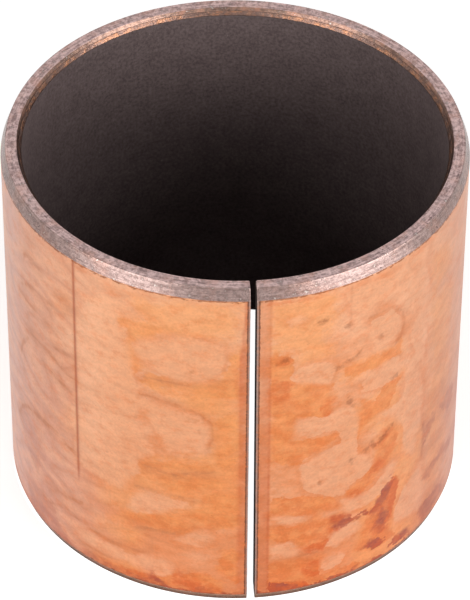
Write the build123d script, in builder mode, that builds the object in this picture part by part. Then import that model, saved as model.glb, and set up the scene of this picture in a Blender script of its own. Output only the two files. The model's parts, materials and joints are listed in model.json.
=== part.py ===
"""Wrapped sliding bush: a copper-flashed steel strip with a sintered sliding layer, rolled to a tube.

The strip is rolled round the Z axis and stands on its lower end. Its two ends meet in an open
butt joint that faces -Y. Both layers are one bonded strip, so they share the surface between
them, the chamfers of the rolled tube's ends and the faces of the joint. Millimetres throughout.
"""

import os
from math import pi, radians, tan

from build123d import *

# ---- Fitted sizes: the joint is closed when the bush is pressed into its housing ----
housing_bore = 55.0  # diameter that the bush closes to
wall = 2.5  # steel, sintered layer and its filling together
sliding_layer = 0.3  # sintered bronze with its dark low-friction filling
length = 49.2  # a strip of 50 nominal width, less what facing the ends takes off

# ---- Free state: the strip springs open at the joint, a little more at the lower end ----
joint_gap_top = 0.7  # between the strip's ends, across the joint
joint_gap_bottom = 0.92

# ---- End chamfers, each as a length along the axis and its run across the wall ----
outer_chamfer_angle = 20.0  # from the axis, a lead-in for pressing the bush home
upper_outer_chamfer = 1.6  # along the axis
lower_outer_chamfer = 1.0  # along the axis
inner_chamfer_length = 0.9  # along the axis
inner_chamfer_width = 0.6  # across the wall, through the sliding layer into the steel

# ---- The tube in its free state ----
# The strip's length stays the same, so the mean opening is added to the outer circumference.
mean_joint_gap = (joint_gap_top + joint_gap_bottom) / 2
outer_radius = (housing_bore + mean_joint_gap / pi) / 2
bore_radius = outer_radius - wall
bond_radius = bore_radius + sliding_layer
mouth_radius = bore_radius + inner_chamfer_width
upper_rim_radius = outer_radius - upper_outer_chamfer * tan(radians(outer_chamfer_angle))
lower_rim_radius = outer_radius - lower_outer_chamfer * tan(radians(outer_chamfer_angle))

# Where the inner chamfer cuts across the bond between steel and sliding layer.
bond_chamfer_depth = inner_chamfer_length * (mouth_radius - bond_radius) / inner_chamfer_width

# The section is drawn on the joint's side, so the seam of each full turn falls inside the joint.
section_plane = Plane(origin=(0, 0, 0), x_dir=(0, -1, 0), z_dir=(-1, 0, 0))

# ---- The joint ----
# Both faces are flat and stand square to the tube's front, leaning apart towards the lower end.
# The cutter is a wedge that runs from the axis out through the wall on the -Y side.
with BuildPart() as joint_space:
    with BuildSketch(Plane.XZ):
        with BuildLine():
            Polyline(
                (-joint_gap_bottom / 2, 0),
                (joint_gap_bottom / 2, 0),
                (joint_gap_top / 2, length),
                (-joint_gap_top / 2, length),
                close=True,
            )
        make_face()
    extrude(amount=outer_radius + 1)


# The steel carries both outer chamfers, both flat ends and the outer part of the inner chamfers.
with BuildPart() as steel_backing:
    with BuildSketch(section_plane):
        with BuildLine():
            Polyline(
                (bond_radius, bond_chamfer_depth),
                (mouth_radius, 0),
                (lower_rim_radius, 0),
                (outer_radius, lower_outer_chamfer),
                (outer_radius, length - upper_outer_chamfer),
                (upper_rim_radius, length),
                (mouth_radius, length),
                (bond_radius, length - bond_chamfer_depth),
                close=True,
            )
        make_face()
    revolve(axis=Axis.Z)
    add(joint_space.part, mode=Mode.SUBTRACT)

# The sliding layer lines the bore and ends on the same inner chamfers.
with BuildPart() as sliding_lining:
    with BuildSketch(section_plane):
        with BuildLine():
            Polyline(
                (bore_radius, inner_chamfer_length),
                (bond_radius, bond_chamfer_depth),
                (bond_radius, length - bond_chamfer_depth),
                (bore_radius, length - inner_chamfer_length),
                close=True,
            )
        make_face()
    revolve(axis=Axis.Z)
    add(joint_space.part, mode=Mode.SUBTRACT)


steel_backing.part.label = "steel_backing"
sliding_lining.part.label = "sliding_lining"

os.makedirs("parts", exist_ok=True)
export_step(steel_backing.part, "parts/steel_backing.step")
export_step(sliding_lining.part, "parts/sliding_lining.step")

print(f"free outside diameter {2 * outer_radius:.3f} mm, free bore {2 * bore_radius:.3f} mm")
print(f"steel {steel_backing.part.volume:.0f} mm3, sliding layer {sliding_lining.part.volume:.0f} mm3")
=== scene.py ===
# %% [markdown]
# # A wrapped sliding bush
#
# The real part is a strip of steel with a thin copper flash on one side and a porous bronze layer on
# the other, filled with a dark dry lubricant. The strip is rolled into a tube, its ends are turned on a
# lathe, and the joint where its two ends meet stays open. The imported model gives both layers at
# their real size. This script dresses them: it rebuilds each layer as a finer surface and gives it the
# stained copper, the turned steel, the porous bronze and the charcoal lining of the real one.

import json
from math import cos, pi, radians, sin, tan

import bpy
import numpy as np
from mathutils import Matrix, Vector


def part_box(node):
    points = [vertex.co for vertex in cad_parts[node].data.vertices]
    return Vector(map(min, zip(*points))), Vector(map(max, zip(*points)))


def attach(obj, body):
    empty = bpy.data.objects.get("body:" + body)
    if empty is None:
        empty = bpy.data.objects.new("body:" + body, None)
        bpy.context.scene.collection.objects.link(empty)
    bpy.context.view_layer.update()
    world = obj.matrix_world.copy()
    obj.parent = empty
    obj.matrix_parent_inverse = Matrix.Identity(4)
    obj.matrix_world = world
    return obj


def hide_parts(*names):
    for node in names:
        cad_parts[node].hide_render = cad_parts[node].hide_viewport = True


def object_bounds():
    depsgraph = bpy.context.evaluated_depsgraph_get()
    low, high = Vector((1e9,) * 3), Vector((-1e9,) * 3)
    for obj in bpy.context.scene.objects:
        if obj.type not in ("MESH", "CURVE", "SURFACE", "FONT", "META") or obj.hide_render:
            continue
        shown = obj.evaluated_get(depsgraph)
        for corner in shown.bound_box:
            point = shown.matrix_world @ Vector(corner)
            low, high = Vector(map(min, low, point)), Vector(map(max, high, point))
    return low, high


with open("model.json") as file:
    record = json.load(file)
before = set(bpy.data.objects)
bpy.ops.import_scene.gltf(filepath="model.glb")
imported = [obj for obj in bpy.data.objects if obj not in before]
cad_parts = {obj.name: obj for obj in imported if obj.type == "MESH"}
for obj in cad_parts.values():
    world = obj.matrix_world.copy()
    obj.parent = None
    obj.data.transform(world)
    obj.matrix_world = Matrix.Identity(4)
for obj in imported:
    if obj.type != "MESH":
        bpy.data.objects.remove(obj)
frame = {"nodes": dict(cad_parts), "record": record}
cad_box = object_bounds()
print("layers in the packed model:", sorted(frame["nodes"]))

# %% [markdown]
# ## Sizes
#
# Everything is placed from a few sizes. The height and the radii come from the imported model's own
# boxes and mounts, so the dressed surfaces always lie where the solids are. Blender works in metres,
# and one millimetre is a handy unit for such a small part.

# %% Sizes of the rolled strip
mm = 0.001
mounts = {m["name"]: m for m in frame["record"]["mounts"]}
height = cad_box[1].z - cad_box[0].z
outer_radius = cad_box[1].x
bore_radius = mounts["bore"]["dims"]["r_mm"] * mm
bond_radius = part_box("sliding_lining")[1].x
lining_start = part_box("sliding_lining")[0].z

outer_chamfer_angle = radians(20)
upper_outer_chamfer = 1.6 * mm
lower_outer_chamfer = 1.0 * mm
inner_chamfer_length = 0.9 * mm
inner_chamfer_width = 0.6 * mm
joint_gap_top = 0.7 * mm
joint_gap_bottom = 0.92 * mm
mouth_radius = bore_radius + inner_chamfer_width
upper_rim_radius = outer_radius - upper_outer_chamfer * tan(outer_chamfer_angle)
lower_rim_radius = outer_radius - lower_outer_chamfer * tan(outer_chamfer_angle)
strip_length = 2 * pi * outer_radius
print(f"height {height / mm:.2f} mm, outside {outer_radius / mm:.3f} mm, bore {bore_radius / mm:.3f} mm")

# %% [markdown]
# ## The camera
#
# A long lens well away from the part keeps the tube's sides nearly parallel. A camera is a place and
# a rotation. The rotation here starts from the direction of view and then adds the small tilts of a
# tripod that wasn't quite level, one axis at a time.

# %% Camera
picture_height_px = 600
lens_in_pixels = 3933
camera_azimuth = radians(-4.63)
camera_elevation = radians(40.976)
camera_distance = 17.309 * outer_radius
aim_up, aim_side, lean = -0.00105, -0.0002, 0.00667

middle = Vector((0, 0, height / 2))
towards_camera = Vector(
    (
        sin(camera_azimuth) * cos(camera_elevation),
        -cos(camera_azimuth) * cos(camera_elevation),
        sin(camera_elevation),
    )
)
camera_data = bpy.data.cameras.new("catalogue_camera")
camera_data.sensor_width = 36
camera_data.lens = lens_in_pixels / picture_height_px * camera_data.sensor_width
camera_data.clip_start, camera_data.clip_end = 0.01, 20
camera = bpy.data.objects.new("catalogue_camera", camera_data)
bpy.context.scene.collection.objects.link(camera)
camera.matrix_world = (
    Matrix.Translation(middle + towards_camera * camera_distance)
    @ (-towards_camera).to_track_quat("-Z", "Y").to_matrix().to_4x4()
    @ Matrix.Rotation(aim_side, 4, "Y")
    @ Matrix.Rotation(aim_up, 4, "X")
    @ Matrix.Rotation(lean, 4, "Z")
)
bpy.context.scene.camera = camera
print(f"lens {camera_data.lens:.0f} mm, {camera_distance:.3f} m away")

# %% [markdown]
# ## The section of a layer
#
# Each layer is one closed surface: a cross-section of the strip, carried round the axis from one end of
# the joint to the other. The cross-section is a list of corners. On a turned part no corner is perfectly
# sharp, so each one is broken by a tiny curve, and that curve is what catches a thin line of light.

# %% A cross-section with broken corners


def cross_section(corners, break_size, steps, points_in_a_curve=4):
    """Closed profile through the corners, each corner replaced by a short curve.

    A corner C with neighbours A and B is trimmed by break_size on both sides. The curve between the
    trimmed points P and Q is (1-t)^2 P + 2t(1-t) C + t^2 Q for t from 0 to 1. Each straight side is
    then divided into steps parts. Returns the points (radius, height) and, for each segment, the
    number of its side. A corner's own curve counts with the side before it.
    """
    corners = np.array(corners, float)
    t = np.linspace(0, 1, points_in_a_curve)[:, None]
    points, sides = [], []
    for k, corner in enumerate(corners):
        before, after = corners[k - 1], corners[(k + 1) % len(corners)]
        leave = corner + (before - corner) * break_size / np.linalg.norm(before - corner)
        enter = corner + (after - corner) * break_size / np.linalg.norm(after - corner)
        curve = (1 - t) ** 2 * leave + 2 * t * (1 - t) * corner + t**2 * enter
        far = after + (corner - after) * break_size / np.linalg.norm(corner - after)
        side = enter + (far - enter) * np.linspace(0, 1, steps[k] + 1)[1:-1, None]
        points += [curve, side]
        sides += [k - 1] * (len(curve) - 1) + [k] * (len(side) + 1)
    return np.vstack(points), np.array(sides) % len(corners)


def run_along(section):
    """Distance from the first point to each point round the closed profile, and the whole way round."""
    return np.append(0, np.cumsum(np.hypot(*np.diff(np.vstack([section, section[:1]]), axis=0).T)))


# %% [markdown]
# ## The columns of the grid
#
# The angles of the grid needn't be even. They are packed tightly at the joint and at a scratch,
# where the shape changes within a tenth of a millimetre, and spread out elsewhere.

# %% Places along the strip, packed where the shape is fine
joint_ends = [joint_gap_top / 2, strip_length - joint_gap_top / 2]
score_at = strip_length - 22.4 * mm


def strip_positions(even_step, fine_places, fine_reach, fine_step):
    """Distances along the strip's outside, from one end of the joint to the other, in metres.

    Even steps everywhere, plus short steps of fine_step within fine_reach of each fine place.
    """
    start, stop = joint_ends
    even = np.linspace(start, stop, int((stop - start) / even_step) + 1)
    fine = [np.arange(place - fine_reach, place + fine_reach, fine_step) for place in fine_places]
    places = np.concatenate([even, *fine, [start, stop]])
    places = np.unique(places[(places >= start) & (places <= stop)].round(8))
    too_close = fine_step * 0.4
    keep = np.append(True, np.diff(places) > too_close)
    keep[-2:] = [False, True] if places[-1] - places[-2] < too_close else [True, True]
    return places[keep]


along = strip_positions(0.27 * mm, [score_at, *joint_ends], 0.3 * mm, 0.04 * mm)
print(len(along), "columns along the strip")

# %% [markdown]
# ## A layer as one closed mesh
#
# Modelling tools could bend a flat strip, but a mesh made straight from arrays keeps every point where
# the formula puts it. The map from points to texture is made here too: it is simply the flat strip in
# millimetres, so a stain or a grain can later be given its real size.

# %% Rolled mesh


def rolled_mesh(name, radius, level, along, run, materials, side_materials, sides, fields):
    """Closed mesh of a rolled layer from arrays of radius and height on a (profile, strip) grid.

    A point at distance s along the outside lies at angle a = s / outer radius, measured from -Y
    towards +X: x = r sin a, y = -r cos a, z = height. Profile rows join up in a ring, strip columns
    don't, and a flat cap in the last material closes each end. The UV map "strip" holds millimetres:
    s, and the distance run along the profile. fields are float attributes on the points.
    """
    rows, columns = radius.shape
    angle = along / outer_radius
    points = np.stack([radius * np.sin(angle), -radius * np.cos(angle), level], axis=-1)
    index = np.arange(rows * columns).reshape(rows, columns)

    def around(low, high):
        """The four corners of every quad, from the grid and the grid one profile row further on."""
        return np.stack([low[:, :-1], low[:, 1:], high[:, 1:], high[:, :-1]], axis=2)

    quads = around(index, np.roll(index, -1, axis=0)).reshape(-1, 4)
    caps = [index[::-1, 0], index[:, -1]]
    corner_points = np.concatenate([quads.ravel(), *caps])
    sizes = np.array([4] * len(quads) + [rows, rows])
    mesh = bpy.data.meshes.new(name)
    mesh.vertices.add(rows * columns)
    mesh.vertices.foreach_set("co", points.ravel())
    mesh.loops.add(len(corner_points))
    mesh.loops.foreach_set("vertex_index", corner_points)
    mesh.polygons.add(len(sizes))
    mesh.polygons.foreach_set("loop_start", np.append(0, np.cumsum(sizes)[:-1]))
    for material in materials:
        mesh.materials.append(material)
    finish = np.repeat(np.array(side_materials)[sides], columns - 1)
    mesh.polygons.foreach_set("material_index", np.append(finish, [len(materials) - 1] * 2))
    mesh.polygons.foreach_set("use_smooth", np.append(np.ones(len(quads), bool), [False, False]))
    mesh.update(calc_edges=True)

    uv_low, uv_high = [
        np.stack([along, np.broadcast_to(distance[:, None], along.shape)], axis=-1) / mm
        for distance in (run[:-1], run[1:])
    ]
    section_points = np.stack([radius, level], axis=-1) / mm
    cap_uv = [section_points[::-1, 0].ravel(), section_points[:, -1].ravel()]
    uv = mesh.uv_layers.new(name="strip")
    uv.data.foreach_set("uv", np.concatenate([around(uv_low, uv_high).ravel(), *cap_uv]))
    for field, values in fields.items():
        made = mesh.attributes.new(field, "FLOAT", "POINT")
        made.data.foreach_set("value", values.astype(np.float32).ravel())
    mesh.validate()
    piece = bpy.data.objects.new(name, mesh)
    bpy.context.scene.collection.objects.link(piece)
    print(f"{name}: {len(mesh.vertices)} points, {len(mesh.polygons)} faces")
    return piece


# %% [markdown]
# ## Uneven surfaces
#
# Real surfaces wander a little. Smooth random curves come from random values at widely spaced knots,
# joined smoothly. The random numbers start from a fixed seed, so that every run gives the same part.

# %% Smooth random curves
random = np.random.default_rng(27)


def wandering(positions, spacing):
    """A smooth random curve over the positions, from 0 to 1.

    Random knots lie spacing apart. Between two knots a and b at the fraction f the curve is
    a + (b - a) (3 f^2 - 2 f^3).
    """
    steps = (positions - positions.min()) / spacing
    knots = random.random(int(steps.max()) + 3)
    base = steps.astype(int)
    f = steps - base
    blend = 3 * f**2 - 2 * f**3
    return knots[base] * (1 - blend) + knots[base + 1] * blend


# %% [markdown]
# ## The stains on the copper
#
# Copper tarnishes in patches. Where the strip was rubbed clean it is pale and pink, where a thin
# oxide grew it turns orange, and where a thicker film dried it is brown or purple. Drying drops leave
# patches with crisp outlines, and each drying edge leaves a thin brown tide line.
#
# A patch is drawn here as an outline on the flat strip: corner after corner, in millimetres along the
# strip from the joint (positive to its right) and up from the lower end. The corners are only a rough
# shape. Noise in the material makes every outline uneven later. The pale patches come first.

# %% Outlines of the pale patches
pale_patches = [
    # right of the joint, from the top down
    [(4.7, 35.3), (5, 36.6), (6.5, 37.1), (8.6, 36.8), (9.9, 36.2), (10.2, 35.2), (9.2, 33.3), (8.2, 33.7),
     (5.8, 35)],
    [(14.5, 40.6), (17.5, 40.8), (19, 39), (19.2, 36.5), (17.5, 35.5), (15.2, 36), (14.4, 38.5)],
    [(13.6, 30.2), (13.4, 31.4), (14.8, 32.6), (17, 32.9), (19, 32.8), (19.4, 31), (18.8, 29.8),
     (15.2, 29.6)],
    [(5.1, 26.3), (5.1, 28.7), (6.4, 28.8), (9, 28.1), (10.4, 29), (12.2, 28.4), (13.2, 26.4), (13, 23.4),
     (11, 23.4), (10.6, 24.6), (10.4, 25.6), (9.2, 25.8), (8.2, 25.4), (6.4, 25.6)],
    [(5.8, 21.2), (7.8, 22.2), (9.8, 23.2), (12.9, 23.6), (13.2, 20.8), (14.4, 19.6), (15.5, 18.2),
     (15.2, 16.8), (12.4, 15.5), (11.4, 14.6), (9.6, 15.2), (7.6, 16.2), (6.2, 17.2), (5.9, 19)],
    [(10.8, 14.4), (13, 13), (15.6, 13.6), (18.8, 16.2), (19.6, 15.2), (18.4, 12.6), (15, 11), (12, 11.4)],
    [(2.6, 13.3), (5, 13.1), (7, 12.6), (6, 12), (4.6, 12.1), (3.2, 12.6)],
    [(8.6, 12.6), (11, 12.6), (11.6, 12.2), (10, 12), (8.8, 12)],
    [(8.8, 6.9), (9.8, 8), (10.4, 9), (12, 9.6), (13.8, 9.2), (14, 8), (12.6, 6.9), (10.6, 6.4)],
    [(8.3, 3.2), (8.8, 4.6), (10.4, 5.2), (12, 4.7), (11.4, 3.4), (9.6, 2.8)],
    [(2.2, 8.8), (4.8, 9.2), (6, 7.4), (5.2, 6.6), (2.4, 6.8)],
    [(19.2, 7), (20.6, 10), (22.4, 10.8), (23.2, 12.2), (24.6, 12), (24.8, 8.6), (27, 6), (24, 4),
     (19.6, 5.4)],
    [(16, 25), (19.6, 25.4), (20.6, 28), (23, 29), (24, 24), (23.8, 19), (22.4, 15), (20.2, 16.5),
     (20.6, 20), (18.6, 23.6)],
    [(3.6, 44.4), (5.4, 45), (6.2, 43.8), (4.4, 43.2)],
    [(11, 46.6), (14, 46.8), (17, 46), (17.4, 44), (14, 42.6), (11.6, 43.4)],
    [(20.6, 29), (22, 31.4), (21, 34.6), (22.6, 38), (20.9, 41), (21.9, 44), (20.4, 46.6), (24, 47),
     (23.3, 43.6), (24.5, 40), (23.1, 36.4), (24.3, 33), (23.6, 29.4)],
    # left of the joint
    [(-22.5, 16), (-23.5, 24), (-22, 30), (-23, 37), (-21, 41.5), (-15, 41), (-14.2, 35), (-13.4, 30),
     (-14, 25), (-13.6, 19), (-16, 15.2)],
    [(-13.6, 37.5), (-14, 39), (-11, 41), (-8.5, 41.7), (-5.5, 41.7), (-3.5, 40.8), (-3.2, 39),
     (-3.4, 37.5), (-5.2, 35.5), (-8, 35.2), (-10.5, 35.6), (-12, 36.4)],
    [(-18.6, 30.2), (-16, 31), (-12.6, 31.3), (-9, 30.6), (-6.4, 30), (-5.2, 28.6), (-5, 26.5),
     (-5.8, 24.4), (-8, 24), (-10, 23.2), (-11.4, 26.6), (-12.6, 29.2), (-15, 29.4), (-16.2, 27.6)],
    [(-19.6, 25.6), (-16.4, 26.8), (-13.4, 25.8), (-11.6, 23), (-13.6, 21.2), (-17, 21.4), (-19.4, 22.8)],
    [(-15.4, 12.6), (-14.6, 14.6), (-13.4, 15.8), (-11.8, 16.4), (-7.6, 16), (-7.4, 15.2), (-10.4, 13.6),
     (-14.2, 12.2)],
    [(-9.6, 9.4), (-8.6, 9.8), (-7, 11.2), (-5, 11.4), (-4, 10.4), (-6.4, 8.6)],
    [(-17, 3.6), (-13, 5.8), (-11, 5.9), (-9.4, 4.8), (-9.6, 3.4), (-11, 2.6), (-14, 3)],
    [(-25, 5.4), (-20, 5.4), (-16, 5), (-13, 3.4), (-17, 3.2), (-23, 3.6)],
    [(-26, 36.8), (-24.4, 37.6), (-22.6, 37), (-21, 34.4), (-23, 33.6), (-26.4, 33.6), (-26.8, 35)],
    [(-21, 43), (-18, 44.8), (-14.6, 44.6), (-12.4, 43.8), (-16.4, 42.4), (-17, 40.4), (-19.6, 39.6)],
    [(-21, 36), (-19, 38.4), (-16.4, 41.4), (-15.4, 38), (-15.2, 35), (-14.8, 32.2), (-18, 31.6),
     (-20.6, 32.6)],
]
print(len(pale_patches), "pale patches")

# %% [markdown]
# ### Warm and orange patches
#
# Where the clear film is thicker the copper looks warmer. Orange oxide lies on top in patches of its
# own, and the deepest orange in the middle of those.

# %% Outlines of the warm, orange and deep orange patches
warm_patches = [
    [(2, 47), (9.6, 47), (9.8, 43), (8.6, 40.6), (9.4, 38), (5, 37.2), (4.8, 39.4), (2, 39.6)],
    [(10.4, 35), (19.6, 34.8), (19.6, 33), (14, 32.8), (10.4, 33)],
    [(12.6, 28), (19.4, 29.6), (19.4, 24), (12.6, 23.6)],
    [(16, 24), (19.8, 23), (21.6, 19), (24, 19), (24.4, 12), (22, 10.6), (19.6, 9), (20, 5), (24, 4),
     (22, 1), (13, 1), (14, 12), (20, 16), (16, 19)],
    [(25, 44), (29, 44), (29.6, 39.6), (25.4, 38)],
    [(25.2, 36), (28.4, 37.6), (31.4, 34.6), (29.8, 28), (31.6, 22), (30, 16.4), (31.2, 9), (29, 3),
     (25.2, 3), (26.6, 9.6), (25, 17.6), (26.4, 26)],
    [(-14, 45.6), (-8, 47), (-2, 47), (-2, 41.4), (-5, 42.2), (-9, 42), (-11.6, 42.4), (-14, 43.6)],
    [(-13, 33.4), (-2, 33.8), (-2, 12.6), (-8, 12.4), (-13, 11.4), (-19, 11.6), (-19.4, 19), (-13, 20.8),
     (-9, 23), (-5, 24), (-4.8, 29.6), (-8, 31.4)],
    [(-26.4, 41), (-23, 42), (-23, 38.8), (-26.4, 38.4)],
    [(-25, 24), (-22.8, 25), (-20, 22), (-20, 20), (-25, 19.8)],
    [(-20, 9), (-13, 10), (-14, 6.8), (-20, 7)],
    [(-25, 5.2), (-17, 5.4), (-14, 4.4), (-13, 1), (-25, 1)],
]
oxide_patches = [
    # right of the joint
    [(2, 39.5), (4.4, 39.4), (5, 37.5), (4.6, 35.2), (6, 34.4), (8.5, 33.4), (9.6, 33), (9.8, 31),
     (9.4, 29), (9.6, 28.4), (8.4, 28), (5.2, 29), (5, 25.8), (7.5, 25.2), (10.4, 25.2), (10.3, 24.2),
     (8, 22.8), (5.4, 21.6), (2, 22.5)],
    [(11.4, 14.4), (12.6, 15.6), (14.2, 16.3), (15.4, 17.4), (15.8, 19), (16.2, 20.6), (18.6, 22),
     (19.4, 20.5), (19.2, 18.3), (17, 15.8), (14, 13.8), (12.4, 13.7)],
    [(13, 22.6), (13.8, 24.4), (15.6, 25.4), (17.6, 25.8), (19.8, 29.4), (17.4, 29.6), (15.4, 28),
     (13.4, 29), (13, 26.6)],
    [(2, 16.6), (5.8, 16.4), (9.4, 15), (10.6, 14), (11.2, 12.6), (7, 12.8), (2, 14)],
    [(2, 12.2), (5, 11.8), (8, 12.2), (10.4, 11.4), (11.4, 10.4), (9.6, 8.2), (8.6, 6.8), (7, 7),
     (5.8, 8.2), (2, 9.6)],
    [(2, 6.4), (5, 6.4), (8.2, 6.2), (9.2, 5.2), (8.6, 4.2), (8.6, 2.4), (14, 2.4), (14, 1), (2, 1)],
    [(15.2, 10.4), (16.8, 11.2), (19, 13.8), (19.9, 13.2), (19.9, 11), (19.4, 8.4), (18.8, 5), (20, 3),
     (15, 3), (13.2, 4.6), (14.8, 8.4)],
    [(10.6, 35.2), (16, 34.6), (19.5, 35), (19.4, 33.2), (14.6, 33), (11, 33.4)],
    # left of the joint
    [(-5.6, 12), (-1.2, 12), (-1.2, 29), (-2.6, 30), (-4.2, 26), (-4, 21), (-6.4, 18)],
    [(-16, 42.6), (-12.5, 43.3), (-11, 42), (-11.4, 41), (-13.6, 40), (-14.3, 38.6), (-14, 37),
     (-12.6, 36.2), (-14, 34), (-14.6, 32.2), (-15.4, 35), (-15.2, 38), (-15.8, 40)],
    [(-12.6, 35.6), (-9, 34.9), (-5.6, 35.2), (-3.8, 36), (-2.9, 38), (-2.6, 39.6), (-1.6, 40),
     (-1.6, 32.8), (-5, 32.6), (-9, 33.4), (-13.5, 33.2)],
    [(-4.8, 30), (-4.4, 24), (-2, 20), (-1.6, 30)],
    [(-14, 20.6), (-10, 22.2), (-5, 22.6), (-2, 20), (-2.4, 17.4), (-8, 16.6), (-14, 19.2)],
    [(-16.6, 11.8), (-12.4, 12.4), (-8, 14.2), (-2, 15), (-2, 12), (-7, 10.6), (-12, 10), (-18, 9.2)],
    [(-20, 2.6), (-17, 2.8), (-12, 2.2), (-10, 3.4), (-5.5, 4.4), (-3.5, 3), (-3, 1), (-20, 1)],
    [(-3.6, 8.6), (-1.6, 8.8), (-1.6, 3), (-4.6, 5)],
]
deep_patches = [
    [(9.4, 9), (10.2, 11.6), (12.4, 11), (13, 9.8), (11, 9)],
    [(16.2, 8.6), (17.4, 11.4), (19.4, 13.8), (19.9, 11.4), (19.2, 8.2), (18.6, 6.6), (17.4, 5.2),
     (15.6, 6)],
    [(6, 7.6), (8.4, 8.8), (9.8, 8.2), (9, 6.6), (7, 6.6)],
    [(6.2, 5.4), (8.4, 5.2), (8.6, 2.4), (6.8, 2.6)],
    [(2, 2.8), (5, 2.6), (7.6, 1.4), (7.6, 0.8), (2, 0.8)],
    [(12, 14.2), (14.6, 15.6), (16.6, 18.4), (17, 17.2), (15, 14.6), (13.4, 13.8)],
    [(15, 20.8), (17, 22.4), (18.6, 21.8), (16.6, 19.8)],
    [(2.2, 35.6), (4.6, 35), (4.4, 32), (2.2, 32)],
    [(8.2, 28.2), (9.6, 28.4), (9.7, 30.6), (8.2, 30)],
    [(2.6, 38.8), (4.6, 39.2), (4.6, 37.6), (2.8, 37.2)],
    [(18, 46.9), (19.4, 46.6), (19, 46.2), (17.6, 46.6)],
    [(1.6, 47.4), (9, 47.6), (9, 47.2), (1.6, 46.8)],
    [(-16, 2.4), (-13, 2.4), (-11.6, 0.9), (-16, 0.9)],
    [(-10, 2.8), (-8.8, 4.2), (-7, 4), (-5.6, 2.4), (-3.4, 2), (-3.2, 0.9), (-9, 0.9)],
    [(-2.4, 37.6), (-1.4, 38), (-1.2, 32), (-2, 33)],
]
print(len(warm_patches), "warm,", len(oxide_patches), "orange and", len(deep_patches), "deep orange patches")

# %% [markdown]
# ### Bruises, painted shade at the foot, and scorched marks
#
# The thickest films are purple-brown. Most lie low on the strip, where liquid gathered and dried. One
# long band along the foot is painted shade where the wall meets the floor. The scorched marks are small
# dark flecks, most of them to the right of the joint.

# %% Outlines of the bruises, the painted shade at the foot and the scorched marks
bruise_and_foot_shade_outlines = [
    [(10.2, 11.3), (11.6, 11), (12.6, 10.4), (14.6, 10.5), (14.8, 9.8), (12.8, 9.6), (11.6, 9.3),
     (10.4, 9.8)],
    [(15.4, 10), (17, 11.8), (19, 13.9), (19.4, 13), (17.8, 10.6), (16.6, 9), (15.6, 8.8)],
    [(16.6, 9.8), (17.8, 9.4), (18.4, 7), (17.2, 5.6), (16.2, 7)],
    [(14.4, 4), (15.4, 4.9), (17.2, 4.2), (18.4, 3.3), (16.2, 3.1)],
    [(19.2, 2.7), (21.8, 2.9), (22.6, 1.9), (18.4, 1.7)],
    [(24.5, 18.4), (26.2, 18.6), (27.8, 17.6), (27.6, 16.2), (26.2, 15.2), (24.8, 14.4), (24.6, 16.8)],
    [(28.6, 18.6), (31.5, 18.8), (34.2, 17.6), (34, 15), (31.4, 14.2), (30, 16.2), (28.4, 17.6)],
    [(24.8, 8.9), (27, 9.9), (29.6, 10.2), (33, 9.4), (35, 7.6), (33, 7), (29.6, 8.8), (26.6, 8.2)],
    [(23.8, 3.8), (26, 4.5), (28.6, 4.6), (31, 3.4), (33, 1.4), (25, 1.2)],
    [(2, 2.6), (4, 2.4), (6.4, 1.6), (6.4, 0.9), (2, 0.9)],
    # painted shade: a band along the foot, where the wall meets the floor
    [(-40, 2.2), (-20, 1.7), (-9, 1.5), (0, 1.4), (10, 1.3), (20, 1.2), (40, 1.3), (40, 0.7), (-40, 0.7)],
    [(-35, 11), (-35.4, 16), (-32, 17.8), (-29.6, 17.4), (-28.6, 12), (-31, 8.6)],
    [(-34, 42), (-31, 45.8), (-29.6, 43.4), (-30.6, 40.6), (-32.8, 40.6)],
    [(-34, 33.8), (-33, 37), (-29, 38), (-26.2, 37.6), (-26.2, 35), (-30, 34.6)],
    [(-34.6, 5.6), (-31, 6.4), (-27, 5.2), (-26, 2.4), (-33, 1.4)],
    [(-12.6, 3.6), (-11.9, 3.6), (-11.2, 1.6), (-12.6, 1.8)],
]
scorched_marks = [
    [(2.8, 37.9), (3.4, 38.5), (4.3, 38.7), (4, 38.1), (3.2, 37.7)],
    [(7.6, 43.2), (8.6, 43.5), (8.5, 42.9), (8, 42.6)],
    [(10.9, 41.4), (11.6, 41.9), (12, 41.6), (11.3, 41.2)],
    [(9.5, 35.1), (10.2, 35.5), (12.2, 36.2), (13.2, 36.7), (12.8, 36.2), (10.3, 35.1)],
    [(11.6, 29.2), (11.7, 30), (12.1, 29.6), (12.2, 28.9), (12.7, 28.4), (12.1, 28.7)],
    [(15.7, 37.4), (16.2, 37.8), (16.4, 37.4), (16.1, 37.2)],
    [(14.1, 20.4), (14.5, 20.7), (14.7, 20.3), (14.3, 20.1)],
    [(15, 21.4), (15.4, 21.2), (15.9, 20.5), (15.4, 20.2)],
    [(16.2, 20.5), (16.4, 21.2), (17.8, 22), (18.5, 22.4), (17.6, 21.4), (16.6, 20.3)],
    [(12.2, 20.1), (12.6, 20), (12.5, 19.3), (12.2, 19.4)],
    [(8, 18.3), (8.2, 18.2), (8.5, 17.6), (8.2, 17.6)],
    [(17.9, 29.8), (18.9, 30.2), (19, 29.8), (18.2, 29.5)],
    [(6.3, 40.6), (6.5, 40.5), (6.4, 40.3)],
    [(-14.2, 27.8), (-13.8, 27.9), (-13.9, 27.6)],
    [(-7.4, 36.6), (-7, 36.7), (-7.1, 36.4)],
    [(-6.5, 27.4), (-6.1, 27.5), (-6.2, 27.2)],
    [(-18.3, 20.1), (-18, 20.5), (-18, 20)],
]
print(len(bruise_and_foot_shade_outlines), "bruises,", len(scorched_marks), "scorched marks")

# %% [markdown]
# ### Tide lines
#
# A tide line is an open line, so it has corners like an outline but doesn't close.

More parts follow.
